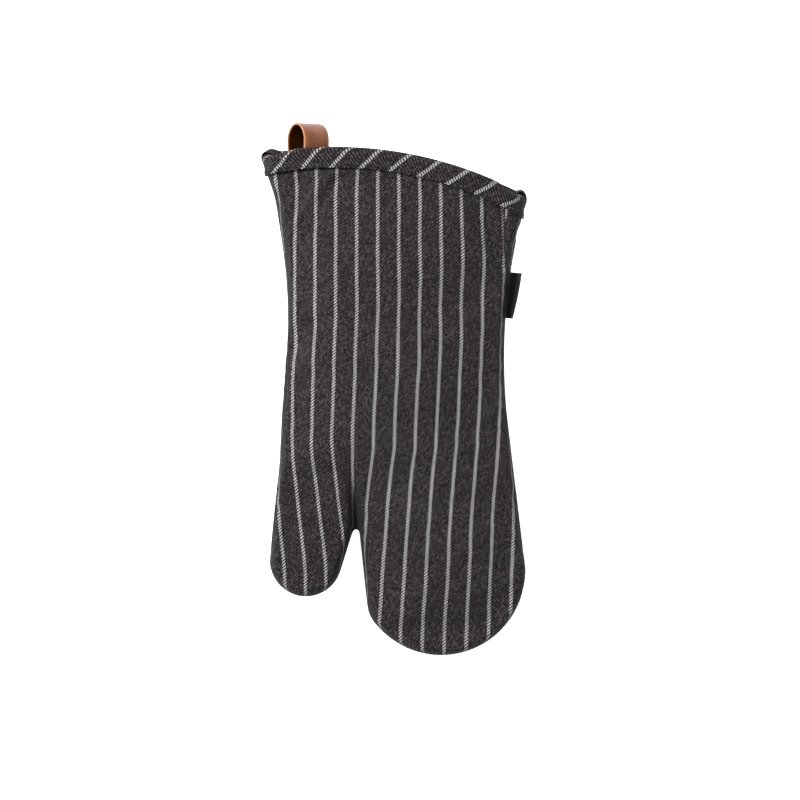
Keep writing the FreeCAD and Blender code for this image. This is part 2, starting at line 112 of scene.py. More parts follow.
def tangent_points(first, second):
    """Where the straight that leaves the first round and joins the second touches each."""
    a, b = first[0], second[0]
    ar, br = first[1] * first[2], second[1] * second[2]
    apart = (b - a).length
    heading = math.atan2(b.y - a.y, b.x - a.x) + math.asin((ar - br) / apart)
    out = Vector((math.sin(heading), -math.cos(heading)))
    return a + out * ar, b + out * br


def arc_points(item, start, end, step):
    """Points along a round from start to end, counter-clockwise if it is convex."""
    centre, radius, turn = item
    a = math.atan2(start.y - centre.y, start.x - centre.x)
    b = math.atan2(end.y - centre.y, end.x - centre.x)
    sweep = (b - a) * turn % (2 * math.pi) * turn
    count = max(3, round(abs(sweep) * radius / step))
    return [centre + Vector((math.cos(a + sweep * i / count), math.sin(a + sweep * i / count))) * radius
            for i in range(count + 1)]


def line_points(start, end, step):
    count = max(2, round((end - start).length / step))
    return [start.lerp(end, i / count) for i in range(count + 1)]


def outline(inset, cuff_radius, step):
    """The side seam's line from the cuff on the thumb side, round the fingers, to the cuff again."""
    rounds = outline_rounds(inset)
    left, thumb, crotch, corner, tip, right = rounds
    touch = tip[0] + (corner[0] - tip[0]).normalized() * tip[1]
    joins = [tangent_points(left, thumb), tangent_points(thumb, crotch),
             tangent_points(crotch, corner), tangent_points(tip, right)]
    top = CREST_Y + 40 * MM  # past the cuff, which cuts the sides off
    left_top = left[0] + Vector((math.sqrt(left[1] ** 2 - (top - left[0].y) ** 2), top - left[0].y))
    right_top = right[0] - Vector((math.sqrt(right[1] ** 2 - (top - right[0].y) ** 2), right[0].y - top))
    stretches = [
        arc_points(left, left_top, joins[0][0], step),
        line_points(*joins[0], step),
        arc_points(thumb, joins[0][1], joins[1][0], step),
        line_points(*joins[1], step),
        arc_points(crotch, joins[1][1], joins[2][0], step),
        line_points(*joins[2], step),
        arc_points(corner, joins[2][1], touch, step),
        arc_points(tip, touch, joins[3][0], step),
        line_points(*joins[3], step),
        arc_points(right, joins[3][1], right_top, step),
    ]
    points = stretches[0] + [p for stretch in stretches[1:] for p in stretch[1:]]
    inside = [p for p in points if (p - CUFF_CENTRE).length <= cuff_radius]
    first, last = points.index(inside[0]), points.index(inside[-1])
    ends = [cuff_crossing(points[first], points[first - 1], cuff_radius),
            cuff_crossing(points[last], points[last + 1], cuff_radius)]
    kept = [p for p in inside if min((p - e).length for e in ends) > step * 0.4]
    return [ends[0]] + kept + [ends[1]]


def cuff_crossing(inner, outer, cuff_radius):
    """Where the segment from inside the cuff's arc to outside it crosses the arc."""
    low, high = 0.0, 1.0
    for _ in range(30):
        middle = (low + high) / 2
        if (inner.lerp(outer, middle) - CUFF_CENTRE).length < cuff_radius:
            low = middle
        else:
            high = middle
    return inner.lerp(outer, low)


def cuff_line(right, left, step):
    """The cuff's arc from the right end of the outline back to its left end, without the ends."""
    item = (CUFF_CENTRE, (right - CUFF_CENTRE).length, 1)
    return arc_points(item, right, left, step)[1:-1]


def as_array(points):
    return np.array([p[:] for p in points])


def gaps_to(points, line):
    """The way from each point to the nearest place on every segment of a line, a batch at a time."""
    batch = 500
    a, along = line[:-1], line[1:] - line[:-1]
    length2 = (along ** 2).sum(1)
    for start in range(0, len(points), batch):
        p = points[start:start + batch, None, :]
        t = np.clip(((p - a) * along).sum(2) / length2, 0, 1)
        yield (a + t[..., None] * along) - p


def distance_to(points, line):
    """The distance from each of many points to a polyline."""
    return np.concatenate([np.sqrt((gap ** 2).sum(2)).min(1) for gap in gaps_to(points, line)])


def smoothstep(low, high, value):
    t = np.clip((value - low) / (high - low), 0, 1)
    return t * t * (3 - 2 * t)


# ---------------------------------------------------------------- padded panels
EDGE_ROUND, CROWN_SPREAD = 6 * MM, 26 * MM


def padded_rise(away, side_rise, crown):
    """How far a padded side stands from the seam plane: steep at its edge, then nearly flat."""
    return side_rise * np.sqrt(1 - np.exp(-away / EDGE_ROUND)) + crown * (1 - np.exp(-away / CROWN_SPREAD))


RING_INSETS = [0.12 * MM, 0.4 * MM, 0.9 * MM, 1.7 * MM, 2.8 * MM, 4.4 * MM]


class Dome:
    """One side of the mitt as a mesh over its outline: 2-D points, triangles and heights."""

    def __init__(self, inset, cuff_radius, side_rise, crown, step=MESH_STEP, inner_lines=()):
        self.edge = outline(inset, cuff_radius, step)
        self.side_rise, self.crown = side_rise, crown
        cuff = cuff_line(self.edge[-1], self.edge[0], step)
        border = self.edge + cuff
        points = list(border)
        constraints = []
        for extra in RING_INSETS:
            points += outline(inset + extra, cuff_radius - 0.3 * MM, step)
        for line in inner_lines:
            start = len(points)
            points += line
            constraints += [(start + i, start + i + 1) for i in range(len(line) - 1)]
        fixed = as_array(points)
        low, high = fixed.min(0), fixed.max(0)
        columns = np.arange(low[0], high[0], step)
        rows = np.arange(low[1], high[1], step * 0.87)
        grid = np.array([(x + (step / 2 if j % 2 else 0), y) for j, y in enumerate(rows) for x in columns])
        away = distance_to(grid, as_array(self.edge))
        in_arc = np.hypot(grid[:, 0] - CUFF_CENTRE.x, grid[:, 1] - CUFF_CENTRE.y) < cuff_radius - step * 0.6
        keep = (away > RING_INSETS[-1] + step * 0.6) & in_arc
        for inner in inner_lines:
            keep &= distance_to(grid, as_array(inner)) > step * 0.55
        points += [Vector(p) for p in grid[keep]]
        whole = [list(range(len(border)))]
        found = delaunay_2d_cdt(points, constraints, whole, 1, 1e-7)
        self.xy = as_array(found[0])
        self.faces = [tuple(f) for f in found[2]]
        self.away = distance_to(self.xy, as_array(self.edge))
        self.height = padded_rise(self.away, side_rise, crown)
        self.smooth_ridges()

    def smooth_ridges(self):
        """Evens out the creases where opposite sides meet, away from the edge."""
        a, b = neighbour_pairs(self.faces)
        weight = smoothstep(5 * MM, 14 * MM, self.away)
        for _ in range(60):
            total = np.zeros(len(self.xy))
            count = np.zeros(len(self.xy))
            np.add.at(total, a, self.height[b])
            np.add.at(count, a, 1)
            self.height += weight * (total / np.maximum(count, 1) - self.height)

    def points3(self, sign):
        return np.column_stack([self.xy, SEAM_Z + sign * self.height])


def neighbour_pairs(faces):
    """Both ways along every edge of a triangle mesh, as two index arrays."""
    edges = set()
    for face in faces:
        for i, vertex in enumerate(face):
            other = face[(i + 1) % len(face)]
            edges.add((vertex, other))
            edges.add((other, vertex))
    pairs = np.array(sorted(edges))
    return pairs[:, 0], pairs[:, 1]


def add_object(name, data):
    added = bpy.data.objects.new(name, data)
    bpy.context.scene.collection.objects.link(added)
    return added


def make_object(name, vertices, faces, smooth=True):
    mesh = bpy.data.meshes.new(name)
    mesh.from_pydata([tuple(v) for v in vertices], [], faces)
    mesh.validate()
    mesh.update()
    if smooth:
        mesh.polygons.foreach_set("use_smooth", [True] * len(mesh.polygons))
    return add_object(name, mesh)


def grid_faces(rows, size, closed=True, start=0):
    """Quads between rows of points; in a closed row the last point joins the first."""
    faces = []
    for r in range(rows - 1):
        for k in range(size if closed else size - 1):
            a = start + r * size + k
            b = start + r * size + (k + 1) % size
            faces.append((a, b, b + size, a + size))
    return faces


def end_faces(rows, size, start=0):
    """The two faces that close the ends of a grid of closed rows."""
    last = start + (rows - 1) * size
    return [tuple(start + k for k in reversed(range(size))), tuple(last + k for k in range(size))]


def face_outwards(piece):
    work = bmesh.new()
    work.from_mesh(piece.data)
    bmesh.ops.recalc_face_normals(work, faces=work.faces)
    work.to_mesh(piece.data)
    work.free()


def set_vectors(piece, name, values):
    """Writes a vector to each vertex of a mesh, which its material reads."""
    attribute = piece.data.attributes.new(name, "FLOAT_VECTOR", "POINT")
    attribute.data.foreach_set("vector", np.asarray(values, np.float32).ravel())


def get_points(piece):
    points = np.zeros(len(piece.data.vertices) * 3)
    piece.data.vertices.foreach_get("co", points)
    return points.reshape(-1, 3)


PALM_Y = -33 * MM  # the stripes are evenly spaced here


def stripe_shift(u, y):
    """How far the stripe that crosses the palm at u leans sideways at y."""
    below = np.maximum(PALM_Y - y, 0)
    thumb = 8.6 * MM * smoothstep(-3 * MM, 91 * MM, below)
    fingers = -(12.5 * MM - 0.061 * u) * (1 - np.exp(-np.maximum(below - 4 * MM, 0) / (84 * MM)))
    beside_fingers = smoothstep(-42 * MM, -12 * MM, u)
    above = np.clip((y - PALM_Y) / (104 * MM), 0, 1)
    drift = (1.5 * MM + 0.0235 * (u - STRIPE_START)) * above * (1.35 - 0.35 * above)
    gather = -0.02 * (u + 27 * MM) * smoothstep(64 * MM, 136 * MM, y)
    wave = 0.2 * MM * np.sin(y / (19 * MM) + u / (31 * MM)) + 0.15 * MM * np.sin(y / (8 * MM) - u / (17 * MM))
    return thumb * (1 - beside_fingers) + fingers * beside_fingers + drift + gather + wave


def palm_place(x, y):
    """Where the stripe through each point crosses the palm."""
    u = x.copy()
    for _ in range(16):
        u = x - stripe_shift(u, y)
    return u


SIDEWAYS_SWELL = 0.5  # the wadding holds the sides in, so they swell less than the faces


def swell(piece, pinned, grow, pressure, frames, cap):
    """Blows up a cloth panel from its seam with Blender's cloth solver, and keeps the result."""
    rest = get_points(piece)
    group = piece.vertex_groups.new(name="seam")
    for index in np.nonzero(pinned > 0.01)[0]:
        group.add([int(index)], float(pinned[index]), "REPLACE")
    cloth = piece.modifiers.new("cloth", "CLOTH")
    settings = cloth.settings
    settings.quality = 6
    settings.mass = 0.25
    settings.tension_stiffness = settings.compression_stiffness = 14
    settings.shear_stiffness = 5
    settings.bending_stiffness = 0.6
    settings.tension_damping = settings.compression_damping = 12
    settings.air_damping = 4
    settings.use_pressure = True
    settings.uniform_pressure_force = pressure
    settings.vertex_group_mass = "seam"
    settings.pin_stiffness = 1
    settings.shrink_min = -grow
    settings.effector_weights.gravity = 0
    cloth.collision_settings.use_collision = False
    cloth.collision_settings.use_self_collision = False
    cloth.point_cache.frame_start = 1
    cloth.point_cache.frame_end = frames
    scene = bpy.context.scene
    for number in range(1, frames + 1):
        scene.frame_set(number)
    graph = bpy.context.evaluated_depsgraph_get()
    result = piece.evaluated_get(graph).to_mesh()
    moved = np.zeros(len(result.vertices) * 3)
    result.vertices.foreach_get("co", moved)
    piece.evaluated_get(graph).to_mesh_clear()
    piece.modifiers.remove(cloth)
    piece.vertex_groups.remove(group)
    scene.frame_set(1)
    step = moved.reshape(-1, 3) - rest
    step[:, :2] *= SIDEWAYS_SWELL
    length = np.linalg.norm(step, axis=1)
    step *= np.minimum(1, cap / np.maximum(length, 1e-9))[:, None]
    return rest + step


# ---------------------------------------------------------------- the mitt's outer shell
FRONT_RISE, FRONT_CROWN = 16.0 * MM, 3.0 * MM
BACK_RISE, BACK_CROWN = 14.6 * MM, 1.6 * MM
PLY_DEPTH = 8.0 * MM  # outer cloth, wadding and lining together
SIDE_SEAM_X = 71.5 * MM  # above the label the back panel wraps forward as far as this
SIDE_SEAM_START = 78 * MM
FLOOR_GAP = 0.25 * MM
# Where along the thumb side the cloth is drawn in, and how far along the mitt each place reaches
WAISTS = ((124 * MM, 13 * MM), (-52 * MM, 24 * MM))
WAIST_DEPTH = 1.1 * MM


def press(xy):
    """How far the panels are pressed in beneath the binding, and pinched at its stitching."""
    radius = np.hypot(xy[:, 0] - CUFF_CENTRE.x, xy[:, 1] - CUFF_CENTRE.y)
    fold = CUFF_RADIUS - BINDING_DEPTH
    held = smoothstep(fold - 3 * MM, fold + 0.5 * MM, radius) * 1.0 * MM
    ditch = np.exp(-((radius - fold) / (1.7 * MM)) ** 2) * 1.2 * MM
    return held + ditch


# Creases pressed into both panels: start and end, how deep and how wide, all in mm
CREASES = [((-25.0, -91.0), (-26.9, -50.0), 11.0, 2.0), ((-25.2, -89.0), (-33.0, -81.5), 3.0, 1.2),
           ((-24.6, -91.5), (-15.0, -92.5), 3.0, 1.2), ((-23.8, -88.0), (-17.0, -78.0), 1.2, 2.0),
           ((46.5, 130.0), (50.5, 108.0), 1.1, 2.4), ((71.0, 25.0), (56.0, 18.0), 0.6, 3.5),
           ((71.0, 9.0), (58.0, 3.0), 0.6, 3.5)]


def creases(xy, spread=1.0):
    """How deep each point is pressed in; each crease is deepest and narrowest where it starts."""
    total = np.zeros(len(xy))
    for start, end, depth, width in CREASES:
        start, end = np.array(start) * MM, np.array(end) * MM
        run = end - start
        share = np.clip(((xy - start) @ run) / (run @ run), 0, 1)
        gap = np.linalg.norm(xy - start - share[:, None] * run, axis=1)
        across = width * spread * MM * (1 + share)
        total = np.maximum(total, depth * MM * (1 - share) ** 0.7 * np.exp(-(gap / across) ** 2))
    return total


def side_seam_line():
    """The seam's line up the label side, where it leaves the silhouette and runs to the cuff."""
    points = []
    y = SIDE_SEAM_START
    while True:
        blend = min(1.0, (y - SIDE_SEAM_START) / (12 * MM))
        point = Vector((SIDE_SEAM_X + (1 - blend) * 0.2 * MM, y))
        if (point - CUFF_CENTRE).length > CUFF_RADIUS - 4.4 * MM:
            return points
        points.append(point)
        y += MESH_STEP * 0.8


def outward(dome):
    """For each point of a dome, the way out to the nearest point of its side, in 2-D."""
    line = as_array(dome.edge)
    a, along = line[:-1], line[1:] - line[:-1]
    result = np.concatenate([gap[np.arange(len(gap)), (gap ** 2).sum(2).argmin(1)]
                             for gap in gaps_to(dome.xy, line)])
    length = np.linalg.norm(result, axis=1)
    normal = np.column_stack([along[:, 1], -along[:, 0]]) / np.sqrt((along ** 2).sum(1))[:, None]
    fallback = normal[np.argmin(distance_between(dome.xy, a + along / 2), axis=1)]
    return np.where(length[:, None] > 1e-6, result / np.maximum(length, 1e-9)[:, None], fallback)


def distance_between(points, others):
    return np.linalg.norm(points[:, None, :] - others[None], axis=2)


BACK_EDGE = -72.1 * MM  # where in its cloth the back panel turns forward at the label side
ROLL_DEPTH = 2.5 * MM  # the cloth rolls over the mitt's side as far in as this


def cloth_places(dome, sign, behind=False):
    """Where each point of a panel lies in its flat cloth: across the stripes, and along them.

    The front dome also carries the back panel's forward edge, which has the back's places.
    """
    x, y = dome.xy[:, 0], dome.xy[:, 1]
    rolled = padded_rise(ROLL_DEPTH, dome.side_rise, dome.crown)
    wrap = np.maximum(rolled - dome.height, 0)
    out = outward(dome)
    u = palm_place(x, y) + out[:, 0] * wrap
    v = y + out[:, 1] * wrap
    inside = dome.away + rolled - wrap
    if sign < 0:
        follows = smoothstep(55 * MM, 80 * MM, y) * smoothstep(28 * MM, 10 * MM, dome.away) * (x > 0)
        u = 5 * MM - u
        u += (BACK_EDGE + inside - u) * follows
    elif behind:
        u = BACK_EDGE - inside
    return np.column_stack([u, v, np.zeros(len(u))])


def join_sides(front, back):
    """One closed-sided mesh of both outer domes, welded along the side seam."""
    vertices = list(front.points3(1))
    places = list(cloth_places(front, 1))
    places_behind = list(cloth_places(front, 1, behind=True))
    index = {(round(x / 1e-6), round(y / 1e-6)): i
             for i, (x, y) in enumerate(front.xy) if front.away[i] < 1e-7}
    backs = []
    back_points, back_places = back.points3(-1), cloth_places(back, -1)
    for i, (x, y) in enumerate(back.xy):
        key = (round(x / 1e-6), round(y / 1e-6))
        if back.away[i] < 1e-7 and key in index:
            backs.append(index[key])
            places_behind[index[key]] = back_places[i]
        else:
            backs.append(len(vertices))
            vertices.append(back_points[i])
            places.append(back_places[i])
            places_behind.append(back_places[i])
    faces = list(front.faces)
    faces += [tuple(backs[i] for i in reversed(f)) for f in back.faces]
    return np.array(vertices), (np.array(places), np.array(places_behind)), faces, len(front.faces), backs


def orient(vertices, faces, sign):
    """Turns the triangles so that they all face away from the seam plane."""
    turned = []
    for face in faces:
        a, b, c = (vertices[i] for i in face[:3])
        up = np.cross(b - a, c - a)[2]
        turned.append(tuple(face) if up * sign > 0 else tuple(reversed(face)))
    return turned


def make_shell():
    """The outer cloth of both sides, blown up from its seam, as a front and a back object."""
    seam_line = side_seam_line()
    foot, head = (Vector(end) * MM for end in CREASES[0][:2])
    valley = line_points(foot, head, 2 * MM)[3:]  # the crease up from the crotch, clear of the edge
    front = Dome(SEAM_INSET, CUFF_RADIUS - 4 * MM, FRONT_RISE, FRONT_CROWN, inner_lines=[seam_line, valley])
    back = Dome(SEAM_INSET, CUFF_RADIUS - 4 * MM, BACK_RISE, BACK_CROWN)
    to_seam = distance_to(front.xy, as_array(seam_line))
    for dome in (front, back):
        dome.height = np.maximum(dome.height - press(dome.xy) * smoothstep(0, 3 * MM, dome.height), 0)
        dome.height = np.maximum(dome.height - creases(dome.xy), dome.height * 0.3)
        dome.faces = orient(np.column_stack([dome.xy, np.zeros(len(dome.xy))]), dome.faces, 1)
    front.height -= 2.2 * MM * np.exp(-(to_seam / (1.6 * MM)) ** 2) * smoothstep(
        SIDE_SEAM_START, SIDE_SEAM_START + 12 * MM, front.xy[:, 1])
    vertices, places, faces, split, backs = join_sides(front, back)
    front_count = len(front.xy)
    shell = make_object("shell", vertices, faces)
    set_vectors(shell, "cloth", places[0])
    set_vectors(shell, "cloth_behind", places[1])
    # The fold attribute carries painted shade: the twill is darkened along the creases, over a band wider
    # than the crease itself.
    deepest = CREASES[0][2] * MM
    fold = creases(vertices[:, :2], spread=2.4) / deepest
    set_vectors(shell, "fold", np.repeat(fold[:, None], 3, axis=1))

    radius = np.hypot(vertices[:, 0] - CUFF_CENTRE.x, vertices[:, 1] - CUFF_CENTRE.y)
    pinned = smoothstep(CUFF_RADIUS - 19 * MM, CUFF_RADIUS - 15 * MM, radius)
    away = np.zeros(len(vertices))
    away[:front_count] = front.away
    away[backs] = back.away
    wraps = (vertices[:, 0] > 0) & (vertices[:, 1] > SIDE_SEAM_START + 6 * MM)
    pinned[(away < 1e-7) & ~wraps] = 1
    pinned[:front_count][(to_seam < 0.05 * MM) & (front.xy[:, 1] > SIDE_SEAM_START)] = 1
    pinned = np.maximum(pinned, smoothstep(1.2 * MM, 3 * MM, creases(vertices[:, :2])))
    moved = swell(shell, pinned, grow=0.03, pressure=2.2, frames=22, cap=6 * MM)
    moved[:, 2] = np.maximum(moved[:, 2], FLOOR_GAP)
    drawn_in = sum(np.exp(-((moved[:, 1] - y) / spread) ** 2) for y, spread in WAISTS)
    moved[:, 0] += WAIST_DEPTH * drawn_in * smoothstep(-50 * MM, -76 * MM, moved[:, 0])
    shell.data.vertices.foreach_set("co", moved.ravel())
    shell.data.update()

    centres = np.array([vertices[list(f)].mean(0) for f in faces])
    behind = np.arange(len(faces)) >= split
    behind |= (centres[:, 0] > SIDE_SEAM_X) & (centres[:, 1] > SIDE_SEAM_START)
    panel_back = take_faces(shell, "panel_back", behind)
    panel_front = take_faces(shell, "panel_front", ~behind)
    bpy.data.objects.remove(shell)
    panel_front.data.attributes.remove(panel_front.data.attributes["cloth_behind"])
    panel_back.data.attributes.remove(panel_back.data.attributes["cloth"])
    panel_back.data.attributes["cloth_behind"].name = "cloth"
    return panel_front, panel_back


def take_faces(piece, name, keep):
    """A copy of a mesh with only some of its faces."""
    copy = piece.copy()
    copy.data = piece.data.copy()
    copy.name = copy.data.name = name
    bpy.context.scene.collection.objects.link(copy)
    work = bmesh.new()
    work.from_mesh(copy.data)
    work.faces.ensure_lookup_table()
    bmesh.ops.delete(work, geom=[f for f in work.faces if not keep[f.index]], context="FACES")
    work.to_mesh(copy.data)
    work.free()
    return copy


def thicken(piece, thickness, levels=1):
    """Gives a sheet its thickness, inwards, and smooths it."""
    finer = piece.modifiers.new("finer", "SUBSURF")
    finer.levels = finer.render_levels = levels
    solid = piece.modifiers.new("solid", "SOLIDIFY")
    solid.thickness = thickness
    solid.offset = -1
    solid.use_rim = True


# ---------------------------------------------------------------- lining
def make_lining(name, sign, rise, crown):
    dome = Dome(PLY_DEPTH + 0.6 * MM, CUFF_RADIUS - 5 * MM, rise - PLY_DEPTH * 0.75, crown * 0.5, step=4 * MM)
    dome.faces = orient(np.column_stack([dome.xy, np.zeros(len(dome.xy))]), dome.faces, sign)
    rumple = 0.5 * MM * np.sin(dome.xy[:, 0] / (9 * MM) + 1.7 * np.sin(dome.xy[:, 1] / (21 * MM)))
    dome.height -= np.abs(rumple) * smoothstep(6 * MM, 20 * MM, dome.away)
    lining = make_object(name, dome.points3(sign), dome.faces)
    set_vectors(lining, "cloth", np.column_stack([dome.xy, np.zeros(len(dome.xy))]))
    thicken(lining, 0.5 * MM)
    return lining


# ---------------------------------------------------------------- cuff binding
class Cuff:
    """The arch of one side at the cuff: its outer and inner surfaces by fraction and radius."""

    def __init__(self, sign, rise, crown, columns):
        self.sign = sign
        self.outer = outline(0.0, CUFF_RADIUS + 6 * MM, 1.5 * MM)
        self.inner = outline(PLY_DEPTH, CUFF_RADIUS + 6 * MM, 1.5 * MM)
        self.rise, self.crown = rise, crown
        fine = 0.5 - 0.5 * np.cos(np.linspace(0, np.pi, 1500))
        arch = self.surface(fine, CUFF_RADIUS - 7 * MM)
        length = np.concatenate([[0], np.cumsum(np.linalg.norm(np.diff(arch, axis=0), axis=1))])
        self.length = length[-1]
        self.along = np.linspace(0, self.length, columns)
        self.fractions = np.interp(self.along, length, fine)

    def ends(self, line, radius):
        """The angles at which a side line crosses a radius about the cuff centre."""
        angles = []
        for points in (line[:len(line) // 2], line[len(line) // 2:][::-1]):
            radii = np.array([(p - CUFF_CENTRE).length for p in points])
            turns = np.array([math.atan2(p.y - CUFF_CENTRE.y, p.x - CUFF_CENTRE.x) for p in points])
            near = radii > CUFF_RADIUS - 60 * MM
            order = np.argsort(radii[near])
            angles.append(np.interp(radius, radii[near][order], turns[near][order]))
        return angles

    def surface(self, fractions, radius, inner=False):
        """Points across the arch at one radius, from the thumb side to the label side."""
        line = self.inner if inner else self.outer
        left, right = self.ends(line, radius)
        turns = left + (right - left) * fractions
        xy = np.column_stack([CUFF_CENTRE.x + radius * np.cos(turns), CUFF_CENTRE.y + radius * np.sin(turns)])
        away = distance_to(xy, as_array(line))
        rise = self.rise - (PLY_DEPTH * 0.75 if inner else 0)
        height = padded_rise(away, rise, self.crown * (0.5 if inner else 1))
        return np.column_stack([xy, SEAM_Z + self.sign * height])

    def frame(self, radius, inner=False):
        """Points, outward normals and the way to the cuff, at every column of one radius."""
        here = self.surface(self.fractions, radius, inner)
        further = self.surface(self.fractions, radius + 0.5 * MM, inner) - here
        across = np.gradient(here, axis=0)
        across /= np.linalg.norm(across, axis=1)[:, None]
        across[0, 2] = across[-1, 2] = 0
        across[0] = (0, 0, self.sign)
        across[-1] = (0, 0, -self.sign)
        normal = np.cross(across, further) * -self.sign
        normal /= np.linalg.norm(normal, axis=1)[:, None]
        to_edge = further - across * (further * across).sum(1)[:, None]
        to_edge /= np.linalg.norm(to_edge, axis=1)[:, None]
        return here, normal, to_edge


# The binding's section: how far in from the cuff's edge, and how far out from the panel, in mm
BINDING_OUTER = [(15.0, -0.7), (15.1, -0.1), (14.8, 0.35), (14.2, 0.55), (13.6, 0.35), (13.1, 0.1),
                 (12.5, 0.45), (11.4, 0.95), (9.8, 1.3), (8.0, 1.4), (6.2, 1.3), (4.8, 1.0)]
BINDING_INNER = [(4.6, 1.1), (6.5, 1.3), (9.0, 1.3), (11.5, 1.1), (12.6, 0.75), (13.1, 0.5), (13.7, 0.75),
                 (14.3, 0.6), (14.5, 0.1)]
# How far the edge sags in its middle, and more at its ends, in mm: front and back
EDGE_DROP = {1: (1.9, 2.0), -1: (0.8, 0.0)}
# The back edge's peaks: how far from each end, how high and how wide, in mm
BACK_CORNERS = ((10.2, 2.4, 4.6), (5.0, 1.4, 3.5))
EDGE_STEPS = 9
BIAS_STRETCH = 0.967  # the binding is stretched along the cuff, which spreads its stripes


def binding_rows(cuff):
    """The binding's surface as rows of points, from its outer fold round the edge to its inner."""
    rows = []
    for depth, lift in BINDING_OUTER:
        here, normal, _ = cuff.frame(CUFF_RADIUS - depth * MM)
        rows.append(here + normal * (lift - 1.0 * (depth > 3)) * MM)
    outer, outer_normal, to_edge = cuff.frame(CUFF_RADIUS - 4.2 * MM)
    inner, inner_normal, _ = cuff.frame(CUFF_RADIUS - 4.2 * MM, inner=True)
    start = outer + outer_normal * 0.2 * MM
    end = inner - inner_normal * 1.0 * MM
    for i in range(1, EDGE_STEPS):
        t = math.pi * i / EDGE_STEPS
        middle, half = (start + end) / 2, (start - end) / 2
        rows.append(middle + half * math.cos(t) + to_edge * 4.2 * MM * math.sin(t))
    for depth, lift in BINDING_INNER:
        here, normal, _ = cuff.frame(CUFF_RADIUS - depth * MM, inner=True)
        rows.append(here - normal * lift * MM)
    rows = np.array(rows)
    sag, corner = EDGE_DROP[cuff.sign]
    from_end = np.minimum(cuff.along, cuff.length - cuff.along)
    drop = sag * smoothstep(0, 14 * MM, from_end) + corner * smoothstep(30 * MM, 22 * MM, from_end)
    if cuff.sign < 0:
        for distance, (place, rise, spread) in zip((cuff.along, cuff.length - cuff.along), BACK_CORNERS):
            drop -= rise * np.exp(-((distance / MM - place) / spread) ** 2)
    depths = [depth for depth, _ in BINDING_OUTER] + [0] * (EDGE_STEPS - 1)
    depths += [depth for depth, _ in BINDING_INNER]
    for row, depth in zip(rows, depths):
        row -= to_edge * (drop * MM * (1 - depth / 15.2))[:, None]
    return rows


def make_binding(name, cuff):
    rows = binding_rows(cuff)
    random.seed(11 + cuff.sign)
    count = rows.shape[1]
    knots = np.arange(0, count + 6, 6)
    pucker = np.interp(np.arange(count), knots, [random.uniform(-1, 1) for _ in knots])
    across = np.concatenate([[0], np.cumsum(np.linalg.norm(np.diff(rows, axis=0), axis=2).mean(1))])
    across[:4] = across[4] - np.arange(4, 0, -1) * 0.25 * MM
    vertices, places = [], []
    for r, row in enumerate(rows):
        for c, point in enumerate(row):
            vertices.append(point)
            along = cuff.along[c] * BIAS_STRETCH + pucker[c] * 0.2 * MM
            places.append((along, across[r], 0))
    faces = grid_faces(len(rows), count, closed=False)
    if cuff.sign > 0:
        faces = [tuple(reversed(f)) for f in faces]
    binding = make_object(name, vertices, faces)
    set_vectors(binding, "cloth", places)
    thicken(binding, 0.7 * MM)
    return binding


def tube_mesh(paths, radius, sides=8):
    """Rounded threads along several short paths, as one list of vertices and faces."""
    vertices, faces = [], []
    for path in paths:
        path = [Vector(p) for p in path]
        start = len(vertices)
        last = len(path) - 1
        for i, point in enumerate(path):
            ahead = path[min(i + 1, last)] - path[max(i - 1, 0)]
            side = ahead.cross(Vector((0.13, 0.21, 0.97))).normalized()
            up = side.cross(ahead).normalized()
            taper = 0.45 if i in (0, last) else 1.0
            for k in range(sides):
                turn = 2 * math.pi * k / sides
                vertices.append(point + (side * math.cos(turn) + up * math.sin(turn)) * radius * taper)
        faces += grid_faces(len(path), sides, start=start) + end_faces(len(path), sides, start)
    return vertices, faces


def make_binding_thread(name, cuff):
    """Single stitches in the dip along the binding's fold."""
    here, normal, _ = cuff.frame(CUFF_RADIUS - 13.0 * MM)
    line = here + normal * (0.55 - 1.0 + 0.2) * MM
    pitch, gap = 3.3 * MM, 0.7 * MM
    paths = []
    start = 2.5 * MM
    while start + pitch < cuff.length - 2.5 * MM:
        path = []
        for i in range(5):
            at = start + (pitch - gap) * i / 4
            sink = 0.45 * MM * (1 - math.sin(math.pi * i / 4))
            point = [np.interp(at, cuff.along, line[:, k]) for k in range(3)]
            out = [np.interp(at, cuff.along, normal[:, k]) for k in range(3)]
            path.append(Vector(point) - Vector(out) * sink)
        paths.append(path)
        start += pitch
    return make_object(name, *tube_mesh(paths, 0.3 * MM))


# ---------------------------------------------------------------- leather hanging loop
STRAP_WIDTH, STRAP_THICKNESS = 19.5 * MM, 1.5 * MM
# The open loop's middle line: sideways and along the mitt from the top of the loop, in mm
LOOP_LINE = [(0.78, -29.5), (0.85, -27.0), (2.0, -24.2), (4.8, -21.6), (7.6, -19.0), (9.0, -16.0),
             (9.3, -12.5), (9.2, -9.4), (8.4, -6.2), (6.7, -3.4), (4.5, -1.4), (2.2, -0.35), (0.0, 0.0)]


def curve_through(points, steps):
    """A smooth (Catmull-Rom) line through points, with some steps between each two."""
    points = [Vector(p) for p in points]
    result = []
    for i in range(len(points) - 1):
        before, a = points[max(i - 1, 0)], points[i]
        b, after = points[i + 1], points[min(i + 2, len(points) - 1)]
        for k in range(steps):
            t = k / steps
            result.append(0.5 * ((2 * a) + (b - before) * t + (2 * before - 5 * a + 4 * b - after) * t ** 2
                                 + (3 * a - before - 3 * b + after) * t ** 3))
    return result + [points[-1]]


